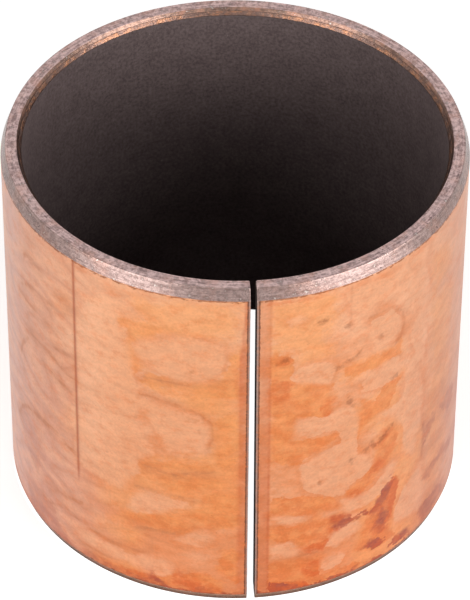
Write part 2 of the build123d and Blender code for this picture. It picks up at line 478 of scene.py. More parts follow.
# %% Tide lines
tide_lines = [
    # left of the joint, from the top down
    [(-32.6, 40.8), (-32, 42.2), (-30.4, 42.6), (-28.8, 42.2)],
    [(-33.5, 36.6), (-32, 37.6), (-30, 38.2), (-27.5, 38.4), (-25, 38), (-23.5, 38.6), (-22, 39.1),
     (-20.5, 39.3)],
    [(-34, 35.2), (-31, 35), (-28, 35), (-25.5, 34.8), (-24.6, 35)],
    [(-20, 37), (-18.2, 37.4), (-17.6, 38.2), (-16, 39.2), (-15, 40)],
    [(-28, 31.3), (-26, 32), (-24, 32.5), (-22.5, 33), (-20.5, 33.6), (-18.5, 34.2), (-17, 34.4),
     (-14.5, 34.2), (-12, 34.6), (-9, 34.5), (-6, 34.4), (-4, 35.1), (-2.6, 36.2)],
    [(-32.5, 30.2), (-30, 30.6), (-27, 30.4), (-25, 29.6), (-23, 29.2), (-21, 29), (-18.5, 29.4),
     (-16.6, 29.2)],
    [(-17, 31.4), (-14, 31.4), (-12, 31.7), (-10.5, 31.3), (-8.5, 31), (-6.8, 30.4), (-5, 29), (-4.6, 27),
     (-5.2, 24.6)],
    [(-28.5, 28.4), (-26, 27.4), (-22, 26.4), (-19, 26.6), (-16.5, 26.8), (-15, 27.6)],
    [(-34.6, 24.5), (-33.8, 27), (-32, 29.2)],
    [(-27, 20.8), (-24, 20.2), (-20, 19.4), (-17, 19.4), (-14.4, 20.2), (-12, 20.3), (-9, 20), (-6.5, 20.8),
     (-4.4, 21.2)],
    [(-33, 17.4), (-30, 18.2), (-27, 18.4), (-25.6, 18.2), (-24.5, 17.4), (-22, 17.2), (-19, 16.8),
     (-16.6, 16.4)],
    [(-36, 14), (-34.6, 16.2), (-33, 17.4)],
    [(-14, 16.6), (-10.5, 16.8), (-7, 16.2)],
    [(-14, 9.9), (-12, 10.1), (-9.4, 10.3), (-7.4, 11.6), (-5, 11.9)],
    [(-25, 6.9), (-23, 6.4), (-20, 6), (-17, 5.7), (-14.5, 5.8), (-12.5, 6.2)],
    [(-29.5, 5.4), (-27, 5.8), (-25.6, 6.6)],
    [(-25, 3.4), (-22, 3), (-18.5, 2.9), (-17, 3.2)],
    [(-29, 8.4), (-26, 8.7), (-22, 9.6)],
    # right of the joint
    [(14.2, 41.2), (17.6, 41.4), (19.4, 39.4), (19.7, 36.4), (18.4, 35.2)],
    [(24.4, 13), (24.6, 16), (24.4, 18.6)],
    [(2, 6.6), (5, 6.5), (8, 6.4)],
]
print(len(tide_lines), "tide lines")

# %% [markdown]
# ### The side that faces away
#
# The stains go on all the way round. On the far side they are rough ovals, scattered at random with
# the sizes and the numbers of those in front. A tide line there is an oval that is left open.

# %% Scattered stains
hidden_side = (40, 132)
oval_corners = 9
line_corners = 6


def scattered(count, smallest, largest):
    """count rough ovals on the hidden stretch of the strip, with half sizes from smallest to largest mm."""
    turn = np.linspace(0, 2 * pi, oval_corners, endpoint=False)
    ovals = []
    for _ in range(count):
        long = random.uniform(smallest, largest)
        reach = long * random.uniform(0.75, 1.2, oval_corners)
        flat, tilt = random.uniform(0.3, 0.8), random.uniform(-0.4, 0.4)
        u, v = reach * np.cos(turn), reach * np.sin(turn) * flat
        centre = random.uniform((hidden_side[0], 3), (hidden_side[1], height / mm - 4))
        turned = np.stack([u * cos(tilt) - v * sin(tilt), u * sin(tilt) + v * cos(tilt)], axis=1)
        ovals.append(centre + turned)
    return ovals


for stains, count, smallest, largest in [
    (pale_patches, 30, 2.0, 6.5),
    (warm_patches, 16, 3.0, 8.0),
    (oxide_patches, 24, 2.0, 6.0),
    (bruise_and_foot_shade_outlines, 10, 1.5, 5.0),
    (scorched_marks, 14, 0.3, 1.0),
    (deep_patches, 10, 1.0, 3.0),
]:
    stains += scattered(count, smallest, largest)
tide_lines += [oval[:line_corners] for oval in scattered(9, 4.0, 10.0)]
print("all round:", len(pale_patches), "pale,", len(oxide_patches), "orange,", len(tide_lines), "lines")

# %% [markdown]
# ### From outlines to fields
#
# An outline could be painted into a picture, but a picture has pixels. Here each point of the mesh
# learns how deep it lies inside the nearest outline instead. That depth changes smoothly, so the
# material can cut it off at zero and get a crisp edge of any shape between the points.

# %% Distance to the stains


def stain_depth(along, across, outlines, closed=True, reach=3.0):
    """How deep each point of the strip lies inside the nearest outline, in mm, clipped to -reach.

    The distance from point p to the segment from a to b is |p - a - t (b - a)|, where t is
    (p - a).(b - a) / |b - a|^2 kept between 0 and 1. A point is inside a closed outline if a line
    from it crosses the outline an odd number of times. Inside counts as positive. Distances along
    the strip wrap round, because the strip's two ends meet.
    """
    s, h = along.ravel() / mm, across.ravel() / mm
    depth = np.full(s.shape, -reach)
    round_once = strip_length / mm
    for outline in outlines:
        corners = np.array(outline, float)
        middle_s = corners[:, 0].mean()
        u = (s - middle_s + round_once / 2) % round_once - round_once / 2 + middle_s
        low, high = corners.min(0) - reach, corners.max(0) + reach
        near = np.flatnonzero((u > low[0]) & (u < high[0]) & (h > low[1]) & (h < high[1]))
        p = np.stack([u[near], h[near]], axis=1)[:, None]
        a, b = (corners, np.roll(corners, -1, axis=0)) if closed else (corners[:-1], corners[1:])
        t = np.clip(((p - a) * (b - a)).sum(-1) / ((b - a) ** 2).sum(-1), 0, 1)[..., None]
        gap = np.linalg.norm(p - a - t * (b - a), axis=-1).min(axis=1)
        if closed:
            spans = (a[:, 1] > p[..., 1]) != (b[:, 1] > p[..., 1])
            rise = np.where(a[:, 1] == b[:, 1], 1, b[:, 1] - a[:, 1])
            crossing = a[:, 0] + (p[..., 1] - a[:, 1]) * (b[:, 0] - a[:, 0]) / rise
            inside = (spans & (p[..., 0] < crossing)).sum(axis=1) % 2 == 1
            gap = np.where(inside, -gap, gap)
        depth[near] = np.maximum(depth[near], -gap)
    return depth.reshape(along.shape)


# %% [markdown]
# ## Materials
#
# A material is a small graph of nodes. One helper adds any node, sets it up and wires it, so each
# finish below reads as a recipe. Colours are written the way a paint program shows them and turned
# to linear light once, because the renderer adds up light, not screen values.

# %% Helpers for materials


def linear(code):
    """Screen colour such as #a08070 as linear RGBA: c/12.92 below 0.04045, else ((c+0.055)/1.055)^2.4."""
    c = np.array([int(code[i : i + 2], 16) for i in (1, 3, 5)]) / 255
    light = np.where(c < 0.04045, c / 12.92, ((c + 0.055) / 1.055) ** 2.4)
    return (*light.tolist(), 1.0)


def node(tree, kind, inputs=None, out=0, **settings):
    """Adds a shader node, applies its settings, fills its inputs and returns one of its outputs.

    inputs maps an input's name or number to a value, or to another node's output to link from.
    """
    made = tree.nodes.new("ShaderNode" + kind)
    for setting, value in settings.items():
        setattr(made, setting, value)
    for key, value in (inputs or {}).items():
        if isinstance(value, bpy.types.NodeSocket):
            tree.links.new(value, made.inputs[key])
        else:
            made.inputs[key].default_value = value
    return made.outputs[out]


def new_finish(name):
    """An empty material with a Principled shader: the material, its node tree and the shader."""
    material = bpy.data.materials.new(name)
    material.use_nodes = True
    tree = material.node_tree
    return material, tree, tree.nodes["Principled BSDF"]


def complete(tree, shader, colour, bumps, **values):
    """Links the colour and the bumps, lowest first, and sets the shader's other values.

    A bump is its strength, its depth in mm, the pattern that gives its height, and whether it is
    turned inside out. An underscore in a value's name stands for a space.
    """
    tree.links.new(colour, shader.inputs["Base Color"])
    inputs = {}
    for strength, depth, pattern, inside_out in bumps:
        inputs.update({"Strength": strength, "Distance": depth * mm, "Height": pattern})
        inputs["Normal"] = node(tree, "Bump", inputs, invert=inside_out)
    tree.links.new(inputs["Normal"], shader.inputs["Normal"])
    for name, value in values.items():
        shader.inputs[name.replace("_", " ")].default_value = value


# %% [markdown]
# ### Patterns in millimetres
#
# All finishes are built from the same few patterns. They read the flat strip's millimetres, so a size
# written below is the size on the part.

# %% Helpers for patterns


def pattern_helpers(tree):
    """For one material, the helpers noise, cells, step, compute and tint."""
    strip = node(tree, "UVMap", uv_map="strip")

    def noise(size, detail=2.0, roughness=0.5, stretch=1.0, place=0.0):
        """Noise with features of that size in mm, drawn out along the strip by stretch."""
        placed = node(tree, "Mapping", {0: strip, 1: (place, place, 0), 3: (1 / stretch, 1, 1)})
        settings = {"Vector": placed, "Scale": 1 / size, "Detail": detail, "Roughness": roughness}
        return node(tree, "TexNoise", settings)

    def cells(size):
        """Distance from the nearest of many points that lie at random, about size mm apart."""
        return node(tree, "TexVoronoi", {"Vector": strip, "Scale": 1 / size}, feature="F1")

    def step(value, low, high, to_low=0.0, to_high=1.0):
        """Smooth step from to_low to to_high as the value goes from low to high."""
        ends = {0: value, 1: low, 2: high, 3: to_low, 4: to_high}
        return node(tree, "MapRange", ends, interpolation_type="SMOOTHSTEP")

    def compute(operation, *values):
        """Arithmetic on values or outputs."""
        return node(tree, "Math", dict(enumerate(values)), operation=operation)

    def tint(under, over, amount):
        """The colour under with over mixed into it by amount."""
        return node(tree, "Mix", {0: amount, 6: under, 7: over}, out=2, data_type="RGBA")

    return noise, cells, step, compute, tint


# %% [markdown]
# ### Copper flash on steel
#
# The copper layer is only microns thick: it is plated on the strip before rolling, to keep rust off.
# As a metal it has no colour of its own beside its reflection, so the colour goes into the tint of the
# reflection and the metallic value is 1. Rolling leaves it satin, with a roughness near 0.45, under a
# thin film of oil that is the shader's coat.
#
# The stains change the tint. The patches arrive as smooth fields on the mesh. Adding noise to a field
# and then cutting it off at zero gives a crisp but uneven outline, like a dried drop, and a second cut
# just outside it gives the darker rim that such a drop leaves.

# %% Colours and fields of the copper
# the side and rosy tints are painted reflection; the bruised and pressed tints also paint shade at the foot
tints = {
    "fresh": "#e0a680", "warm": "#d88c5c", "side": "#cf9680", "far_left_sheen": "#d3a698", "golden": "#e69d60",
    "pale": "#dfa27b", "light": "#e4a277", "peach": "#efb48c", "rim": "#bd764c", "oxide": "#d4773a",
    "deep": "#c85a22", "bruised_and_foot_shade": "#9e4d3a", "scorched": "#84441f", "pressed": "#bb592e",
    "score": "#a04c26", "crushed": "#4a2a1e", "bare steel": "#97837b",
}
copper = {name: linear(code) for name, code in tints.items()}
field_names = [
    "pale", "warm", "oxide", "deep", "bruised_and_foot_shade", "scorched", "tide", "warmth", "side", "far_left_sheen", "painted_shade_right",
    "boldness", "softness", "drying", "pressed", "scored", "worn", "crushed", "bare",
]

# stained_copper_flash: satin copper plating, tarnished in patches
flash, copper_tree, copper_shader = new_finish("stained_copper_flash")
noise, cells, step, compute, tint = pattern_helpers(copper_tree)
field = {name: node(copper_tree, "Attribute", out=2, attribute_name=name) for name in field_names}
print(len(copper), "tints,", len(field), "fields")

# %% [markdown]
# #### Edges of a stain
#
# A dried drop is crisp in one place and blurred in another. So two noises make the outlines ragged, and
# a third, much broader one sets how far each edge is blurred.

# %% Uneven edges
ragged = compute("MULTIPLY_ADD", noise(2.4, 5, 0.6, 1.3), 3.6, -1.8)
jagged = compute("MULTIPLY_ADD", noise(0.7, 4, 0.65, 1.2, 60), 2.4, -1.2)
uneven = compute("ADD", ragged, jagged)
cloud = noise(4.0, 4, 0.55, 1.8, 40)
broken = step(noise(3.0, 2, 0.5, 2.0, 17), 0.36, 0.58, 0.25, 1.0)
blur = step(noise(5.0, 2, 0.5, 1.0, 71), 0.42, 0.6, 0.05, 0.7)
blur = compute("ADD", blur, compute("MULTIPLY", field["softness"], 0.7))


def depth_in(name, wobble):
    """Depth inside the outlines of that name, with their edges moved by up to about wobble x 3 mm."""
    return compute("ADD", field[name], compute("MULTIPLY", uneven, wobble))


def patch(name, wobble, strength):
    """How strongly that stain shows: strength inside its uneven outline, crisp or blurred by turns."""
    return step(depth_in(name, wobble), compute("MULTIPLY", blur, -1), blur, 0, strength)


print(len(copper_tree.nodes), "nodes so far")

# %% [markdown]
# #### The ground and its oxide
#
# The ground is two tints of lightly tarnished copper that drift into each other. Painted reflection
# makes it pinker at the sides, where the wall turns away, and nearly rosy far to the left. Orange oxide
# goes over it: deep where the stains are bold, and golden where they are faint.

# %% Ground and oxide
warmth = compute("ADD", field["warmth"], compute("MULTIPLY_ADD", cloud, 2.4, -1.2))
ground = tint(copper["fresh"], copper["warm"], step(warmth, 0.0, 1.0))
ground = tint(ground, copper["golden"], step(compute("ADD", field["warm"], uneven), -1.2, 1.0, 0, 0.6))
# painted reflection: pinker at both sides where the wall turns away, rosier far to the left
ground = tint(ground, copper["side"], field["side"])
ground = tint(ground, copper["far_left_sheen"], field["far_left_sheen"])

patchy = step(noise(1.8, 5, 0.65, 1.3, 47), 0.36, 0.62, 0.5, 1.3)
orange = tint(copper["golden"], copper["oxide"], compute("MULTIPLY", field["boldness"], patchy))
ground = tint(ground, orange, patch("oxide", 0.6, 0.85))

# %% [markdown]
# #### Drying marks
#
# Where the film dried slowly, faint tide marks follow each other like the grain of wood. Folding a
# smooth noise up and down gives such nested lines. The drawn tide lines are stronger, each a thin core
# in a faint halo, broken here and there.

# %% Drying marks and tide lines
slow = compute("MULTIPLY_ADD", noise(9.0, 1.5, 0.5, 2.2, 55), 8.0, compute("MULTIPLY", uneven, 0.05))
contour = compute("PINGPONG", slow, 0.5)
bright_side = step(contour, 0.15, 0.45, 0, 0.5)
dark_side = compute("MULTIPLY", step(contour, 0.16, 0.0, 0, 0.55), broken)
ground = tint(ground, copper["peach"], compute("MULTIPLY", bright_side, field["drying"]))
ground = tint(ground, copper["rim"], compute("MULTIPLY", dark_side, field["drying"]))

tide = depth_in("tide", 0.25)
line = compute("ADD", step(tide, -0.42, -0.02, 0, 0.5), step(tide, -1.8, 0.0, 0, 0.3))
ground = tint(ground, copper["rim"], compute("MULTIPLY", line, broken))

# %% [markdown]
# #### Pale patches
#
# They look rubbed clean, with a little more oxide just outside them. The bold ones are slightly
# redder, the soft ones nearly peach, and all are thinner in places.

# %% Pale patches
inside = patch("pale", 0.45, 1.0)
rim = compute("MULTIPLY", step(depth_in("pale", 0.45), -1.0, -0.1), compute("SUBTRACT", 1.0, inside))
ground = tint(ground, copper["oxide"], compute("MULTIPLY", rim, compute("MULTIPLY", broken, 0.3)))
covered = compute("MULTIPLY", inside, step(cloud, 0.3, 0.7, 1.0, 0.7))
covered = compute("MULTIPLY", covered, step(field["softness"], 0.4, 0.8, 1.0, 0.3))
cleaned = tint(copper["light"], copper["peach"], step(field["softness"], 0.3, 0.6))
cleaned = tint(cleaned, copper["pale"], field["boldness"])
ground = tint(ground, cleaned, covered)

# %% [markdown]
# #### Deep oxide, bruises and scorched marks
#
# The deepest orange is broken up by flowing streaks. The bruises carry the same streaks, and to the
# right a veil of their colour lies over everything: painted shade where the wall turns away.

# %% Deep oxide, bruises and scorched marks
swirl = noise(1.6, 5, 0.65, 1.5, 23)
deep = compute("MULTIPLY", patch("deep", 0.5, 0.8), step(swirl, 0.38, 0.56, 0.15, 1.0))
ground = tint(ground, copper["deep"], compute("MULTIPLY", deep, field["boldness"]))

bruise_and_shade_tint = tint(copper["bruised_and_foot_shade"], copper["deep"], step(swirl, 0.42, 0.6, 0, 0.55))
bruise_and_shade_tint = tint(bruise_and_shade_tint, copper["bruised_and_foot_shade"], field["softness"])
# the bruise mask also holds the band of painted shade along the foot
bruised_and_foot_shade = compute("MULTIPLY", patch("bruised_and_foot_shade", 0.8, 1.15), field["boldness"])
bruised_and_foot_shade = compute("MULTIPLY", bruised_and_foot_shade, step(noise(1.8, 4, 0.65, 1.8, 29), 0.35, 0.6, 0.7, 1.0))
# painted shade: a veil of the bruise tint over the right, where the wall turns away
painted_shade_right = compute("MULTIPLY", field["painted_shade_right"], step(noise(5.0, 4, 0.6, 1.6, 63), 0.36, 0.64, 0.5, 1.5))
ground = tint(ground, bruise_and_shade_tint, compute("MAXIMUM", bruised_and_foot_shade, painted_shade_right))

scorched = compute("ADD", field["scorched"], compute("MULTIPLY", jagged, 0.6))
ground = tint(ground, copper["scorched"], step(scorched, -0.35, 0.25, 0, 0.52))

# %% [markdown]
# #### Marks of the tools
#
# Pressing left a redder band beside the joint and a dark crushed line along its edge, where bare steel
# shows. The wall has a score line, and the copper is worn off where the chamfers cut through it.

# %% Band, score line and worn edges
# the pressed tint also paints shade low on the left foot
pressed = compute("MULTIPLY", field["pressed"], step(ragged, -0.6, 0.6, 0.5, 1))
ground = tint(ground, copper["pressed"], pressed)
ground = tint(ground, copper["score"], field["scored"])
nibbled = compute("MULTIPLY_ADD", noise(0.5, 4, 0.7, 2, 33), 2.4, -1.2)
worn = step(compute("ADD", field["worn"], nibbled), 0.75, 1.0, 0.0, 0.75)
ground = tint(ground, copper["scorched"], worn)
crushed = step(compute("ADD", field["crushed"], compute("MULTIPLY", nibbled, 0.5)), 0.35, 0.8, 0, 0.8)
ground = tint(ground, copper["crushed"], crushed)
bared = compute("MULTIPLY", field["bare"], step(nibbled, -0.6, 0.3, 0.5, 1.0))
ground = tint(ground, copper["bare steel"], bared)

# %% [markdown]
# #### Fine grain and shader
#
# Last come fine mottling, flecks of oxide and pin-prick pores. The grain also drives a very shallow
# bump, which keeps the reflections from looking like plastic.

# %% Fine grain, and the copper's shader
fine = noise(0.35, 3, 0.6)
ground = tint(ground, copper["oxide"], step(noise(1.3, 5, 0.7, 1.5, 90), 0.46, 0.7, 0, 0.4))
mottled = step(compute("ADD", fine, noise(1.1, 3, 0.6, 1.6, 90)), 0.7, 1.3, 0.93, 1.07)
ground = node(copper_tree, "VectorMath", {0: ground, "Scale": mottled}, operation="SCALE")
pore = step(noise(0.3, 1, 0.5, 1, 11), 0.75, 0.8)
ground = tint(ground, copper["scorched"], compute("MULTIPLY", pore, 0.4))

copper_tree.links.new(step(inside, 0.0, 1.0, 0.48, 0.42), copper_shader.inputs["Roughness"])
grain = [(0.22, 0.02, fine, False)]
complete(copper_tree, copper_shader, ground, grain, Metallic=1.0, Coat_Weight=0.35, Coat_Roughness=0.35)
print(flash.name, "has", len(copper_tree.nodes), "nodes")

# %% [markdown]
# ### Turned steel
#
# After rolling, both ends are faced and chamfered on a lathe. The tool leaves fine rings that run
# round the part, and tears the soft steel. Rings are noise that is very long round the part and very
# short across it. They are drawn 0.25 mm apart, a little wider than the real ones, because finer ones
# would be lost between the pixels. The torn surface is blotchy noise: its dark ends are pits, and its
# bright ends are burnished spots. A little copper is smeared over all of it.
#
# The same recipe serves the chamfers, the end rings and the sheared faces of the joint, each with its
# own pair of greys.

# %% Turned steel


def turned_steel(name, light, dark, roughness, smeared):
    """Turned steel between two greys, pitted, with copper smeared over it by that amount."""
    material, tree, shader = new_finish(name)
    noise, cells, step, compute, tint = pattern_helpers(tree)
    rings = noise(0.25, 3, stretch=14)
    torn = noise(0.7, 5, 0.75)
    marks = compute("MULTIPLY_ADD", rings, 0.35, torn)
    colour = tint(linear(dark), linear(light), step(marks, 0.46, 0.88))
    colour = tint(colour, linear("#b98570"), step(noise(2.5, 4, 0.6), 0.45, 0.7, 0.0, smeared))
    colour = tint(colour, linear("#d9cdc6"), step(torn, 0.42, 0.32, 0.0, 0.7))
    colour = tint(colour, linear("#3a2c29"), step(torn, 0.59, 0.67, 0.0, 0.85))
    complete(tree, shader, colour, [(0.5, 0.06, marks, False)], Metallic=1.0, Roughness=roughness)
    return material


# bright lathe-cut steel, redder where more copper was dragged over it; the lower chamfer's browner copy is
# also painted shade where it meets the floor
chamfer_steel = turned_steel("turned_steel_chamfer", "#b49b95", "#6c5651", 0.26, 0.25)
# painted shade: the lower chamfer is browner, standing for the shade next to the floor
shaded_lower_steel = turned_steel("turned_steel_lower_chamfer_shaded", "#b68e76", "#7e5f50", 0.3, 0.7)
end_steel = turned_steel("turned_steel_end", "#debfbb", "#5a4444", 0.33, 0.35)
inner_steel = turned_steel("turned_steel_inner_chamfer", "#a78778", "#4e3a35", 0.27, 0.5)
# dull steel where the strip was sheared off
sheared_steel = turned_steel("sheared_steel", "#9a8b84", "#5a4d48", 0.6, 0.2)
print("made", chamfer_steel.name, "and four steels like it")

# %% [markdown]
# ### Sintered bronze
#
# Under the lining lies bronze powder, sintered into a porous layer about 0.3 mm thick. It shows only
# where the inner chamfers cut through it, as grains of about 0.1 mm with dark filled pores between
# them. The cells of a pattern are the grains, and the distance from their middles gives the pores.
# The tool also drags the soft bronze along its path, which leaves long bright smears.

# %% Sintered bronze


def sintered_bronze():
    """Porous bronze, cut by the turning tool."""
    material, tree, shader = new_finish("sintered_bronze")
    noise, cells, step, compute, tint = pattern_helpers(tree)
    grains = cells(0.16)
    smears = noise(0.9, 4, 0.65, stretch=1.3)
    colour = tint(linear("#66504a"), linear("#8c7268"), noise(0.5, 3))
    colour = tint(colour, linear("#bd8562"), step(smears, 0.42, 0.7, 0, 0.75))
    colour = tint(colour, linear("#4a2f26"), step(grains, 0.5, 0.85, 0, 0.5))
    bumps = [(0.3, 0.05, grains, True), (0.7, 0.18, smears, False)]
    complete(tree, shader, colour, bumps, Metallic=1.0, Roughness=0.27)
    return material


bronze = sintered_bronze()
print(bronze.name, "has", len(bronze.node_tree.nodes), "nodes")

# %% [markdown]
# ### Charcoal sliding film
#
# The bore is coated with a low-friction polymer filled with graphite. It isn't a metal: light
# scatters in it, so it is dark grey and matt, with a very fine speckle from the filler. Its lightest
# flecks are painted glints. A few specks of pale lint lie on it.

# %% Charcoal sliding film


def charcoal_film():
    """Matt dark polymer with graphite."""
    material, tree, shader = new_finish("charcoal_sliding_film")
    noise, cells, step, compute, tint = pattern_helpers(tree)
    filler = noise(0.45, 5, 0.75)
    shade = compute("MULTIPLY_ADD", noise(2.5, 3), 0.25, filler)
    colour = tint(linear("#554746"), linear("#867574"), step(shade, 0.36, 0.92))
    # painted glints: the lightest flecks of the filler
    colour = tint(colour, linear("#8b7f78"), step(filler, 0.76, 0.82))
    lint = node(tree, "MapRange", {0: cells(2.4), 1: 0.045, 2: 0.02, 4: 0.6})
    colour = tint(colour, linear("#b5aaa0"), lint)
    complete(tree, shader, colour, [(0.3, 0.015, filler, False)], Roughness=0.65, Specular_IOR_Level=0.3)
    return material


film = charcoal_film()
print(film.name, "has", len(film.node_tree.nodes), "nodes")

# %% [markdown]
# ## The copper-flashed backing
#
# The tube isn't perfectly round: here and there the strip lies up to 0.02 mm inside its ideal
# circle. The lathe cuts a perfect cone all the same, so where the wall lies deeper, the edge between
# copper and chamfer climbs. That is why the edge looks slightly wavy, although nothing is bent.

# %% Grid of the backing
backing_corners = [
    (bond_radius, lining_start),
    (mouth_radius, 0),
    (lower_rim_radius, 0),
    (outer_radius, lower_outer_chamfer),
    (outer_radius, height - upper_outer_chamfer),
    (upper_rim_radius, height),
    (mouth_radius, height),
    (bond_radius, height - lining_start),
]
backing_steps = [2, 4, 4, 96, 6, 6, 3, 2]
backing, backing_sides = cross_section(backing_corners, 0.06 * mm, backing_steps)
radius = np.repeat(backing[:, :1], len(along), axis=1)
level = np.repeat(backing[:, 1:], len(along), axis=1)

on_wall = backing[:, 0] > outer_radius - 0.05 * mm
edge_rows = 0.09 * mm
upper_edge = on_wall & (backing[:, 1] > height - upper_outer_chamfer - edge_rows)
lower_edge = on_wall & (backing[:, 1] < lower_outer_chamfer + edge_rows)
sag = 0.012 * mm * wandering(along, 9 * mm) + 0.008 * mm * wandering(along, 0.7 * mm)
climb = sag / tan(outer_chamfer_angle)
radius -= on_wall[:, None] * sag
level += upper_edge[:, None] * climb - lower_edge[:, None] * climb
print(len(backing), "rows; the edge climbs by up to", round(climb.max() / mm, 3), "mm")

# %% [markdown]
# ### Rolled edges and a score line
#
# Shearing rolled over the outer edge of the joint, and its upper corners are eased a little. A tool has
# also scratched a straight line down the wall, which is cut here as a real groove 0.02 mm deep.

# %% Rolled edges and groove


def ramp(value, start, stop):
    """0 before start, 1 after stop, straight between them."""
    return np.clip((value - start) / (stop - start), 0, 1)


def ridge(value, centre, width):
    """1 at the centre, falling off on both sides as exp(-((value - centre) / width)^2)."""
    return np.exp(-(((value - centre) / width) ** 2))


from_end = np.minimum(along - joint_ends[0], joint_ends[1] - along)
rolled_over = 0.06 * mm * ramp(from_end, 0.16 * mm, 0) ** 2
radius -= on_wall[:, None] * rolled_over
eased = 0.12 * mm * ramp(from_end, 0.25 * mm, 0) ** 2
level -= (backing[:, 1:] / height) ** 12 * eased

groove_depth = 0.02 * mm
groove_reach = ramp(backing[:, 1], 12.7 * mm, 15 * mm)
radius -= (on_wall * groove_reach)[:, None] * ridge(along, score_at, 0.09 * mm) * groove_depth
print(f"deepest point of the wall {(outer_radius - radius[on_wall].min()) / mm:.3f} mm inside the circle")

# %% [markdown]
# ### The joint
#
# The joint opens a little towards the lower end, and its two faces are flat and parallel to the
# direction from the axis to the joint's middle. So each end column moves sideways, by an amount that
# depends on its height and radius, and the columns next to it follow less and less.

# %% Joint faces


def gap_at(level):
    """Half the joint's opening at that height."""
    return (joint_gap_bottom + (joint_gap_top - joint_gap_bottom) * level / height) / 2


def opened_joint(radius, level, roughening):
    """Places along the outside, in metres, with the end columns moved onto the joint's faces.

    A face lies at the distance w from the joint's middle plane, so a point of it at radius r lies at
    the angle asin(w / r). Its place along the outside is that angle times the outer radius.
    """
    end_place = outer_radius * np.arcsin((gap_at(level) + roughening) / radius)
    shift = (end_place - joint_ends[0]) * ramp(from_end, 1.5 * mm, 0)
    return along + np.where(along < strip_length / 2, shift, -shift)


chipped = 0.02 * mm * (wandering(backing[:, 1], 0.5 * mm) + wandering(backing[:, 1], 1.7 * mm))
place = opened_joint(radius, level, chipped[:, None])
print(f"joint {2 * gap_at(0) / mm:.2f} mm at the bottom, {2 * gap_at(height) / mm:.2f} mm at the top")

# %% [markdown]
# ### Fields of the stains
#
# Each kind of stain becomes one field. A second set of fields says where the ground tints lie. They
# depend on the place along the strip and on the height, because the copper is warmer near the foot in
# front. Painted reflection makes it pinker at both sides and rosier far to the left, and painted shade
# makes it darker where the wall turns away on the right.

# %% Fields of stains and ground tints
outlines = {
    "pale": pale_patches,
    "warm": warm_patches,
    "oxide": oxide_patches,
    "deep": deep_patches,
    "bruised_and_foot_shade": bruise_and_foot_shade_outlines,
    "scorched": scorched_marks,
}
fields = {name: stain_depth(place, level, patches) for name, patches in outlines.items()}
fields["tide"] = stain_depth(place, level, tide_lines, closed=False)

to_left = strip_length - place
from_joint = np.minimum(place, to_left)
on_right = place < strip_length / 2
lowness = 1 - level / height
front_reach = np.where(on_right, 19 * mm, 15 * mm)
near_front = ramp(from_joint, front_reach + 14 * mm, front_reach)
warm_again = 0.3 * ramp(from_joint, 38 * mm, 46 * mm)
fields["warmth"] = np.maximum(near_front, warm_again) * (0.05 + 0.95 * lowness) + 0.1

# painted reflection: pinker towards both sides and rosier far to the left, where the wall turns away
side_start = front_reach + 7 * mm * on_right
side = ramp(from_joint, side_start, side_start + 13 * mm) * ramp(from_joint, 52 * mm, 42 * mm)
fields["side"] = side * (0.4 + 0.6 * lowness)
fields["far_left_sheen"] = 0.85 * ramp(to_left, 30 * mm, 37 * mm) * ramp(to_left, 58 * mm, 46 * mm)
past_right = ramp(place, 21 * mm, 27 * mm) * on_right
turning_away = 1 + ramp(place, 35 * mm, 42 * mm)
# painted shade: darker on the right, growing where the wall turns away
fields["painted_shade_right"] = (0.11 + 0.2 * lowness) * past_right * turning_away * ramp(place, 64 * mm, 44 * mm)
print({name: (round(float(f.min()), 2), round(float(f.max()), 2)) for name, f in fields.items()})

# %% [markdown]
# ### Fields of boldness
#
# The same stain isn't equally strong everywhere. Right of the joint and low down the stains are bold
# and crisp, and on the left they fade and blur. The slow drying marks are the other way round.

# %% Fields of boldness, softness and drying
faded = ramp(to_left, 14 * mm, 26 * mm) * ramp(to_left, 0.5 * strip_length, 0.3 * strip_length)
bold_right = 0.45 + 0.55 * lowness - 0.28 * past_right
bold_left = 0.18 + 0.65 * lowness**1.3 - 0.42 * faded
fields["boldness"] = np.where(on_right, bold_right, bold_left)
fields["softness"] = 0.3 * (1 - on_right) + 0.5 * faded + 0.8 * ramp(place, 20 * mm, 26 * mm) * on_right
fields["drying"] = np.where(on_right, 0.12, 0.18 + 0.42 * faded)
print(f"boldness from {fields['boldness'].min():.2f} to {fields['boldness'].max():.2f}")

# %% [markdown]
# ### Fields of the tool marks
#
# The pressed band is wider right of the joint than left of it, and the foot on the left is a little
# darker in the same tint, which is painted shade. The crushed line and the bare steel lie within 0.3 mm
# of the joint.

# %% Fields of tool marks
from_face = from_joint - gap_at(level)
band_end = np.where(on_right, 1.55, 0.5 + 0.7 * ramp(level, 46 * mm, 38 * mm)) * mm
band_strength = np.where(on_right, 0.3 + 0.3 * lowness, 0.65 - 0.15 * lowness)
band = ramp(from_face, band_end + 0.15 * mm, band_end) * band_strength
band_edge = 0.3 * ridge(from_face, band_end, 0.12 * mm) * on_right
# painted shade: the left foot is darker in the pressed tint
shaded_foot_left = 0.35 * ramp(level, 2.6 * mm, 1.3 * mm) * (1 - on_right)
fields["pressed"] = np.maximum(band + band_edge, shaded_foot_left)
fields["crushed"] = ridge(from_face, 0.27 * mm, 0.09 * mm)
fields["bare"] = ramp(from_face, 0.24 * mm, 0.16 * mm)

second_line = 0.15 * ridge(place, 11.7 * mm, 0.15 * mm) * ramp(level, 38 * mm, 42 * mm)
fields["scored"] = 0.75 * ridge(place, score_at, 0.22 * mm) * groove_reach[:, None] + second_line
below_chamfer = height - upper_outer_chamfer + climb - level
above_chamfer = level - lower_outer_chamfer + climb
fields["worn"] = ramp(np.minimum(below_chamfer, above_chamfer), 0.5 * mm, 0.05 * mm)
print(len(fields), "fields, as many as the finish reads:", sorted(fields) == sorted(field_names))

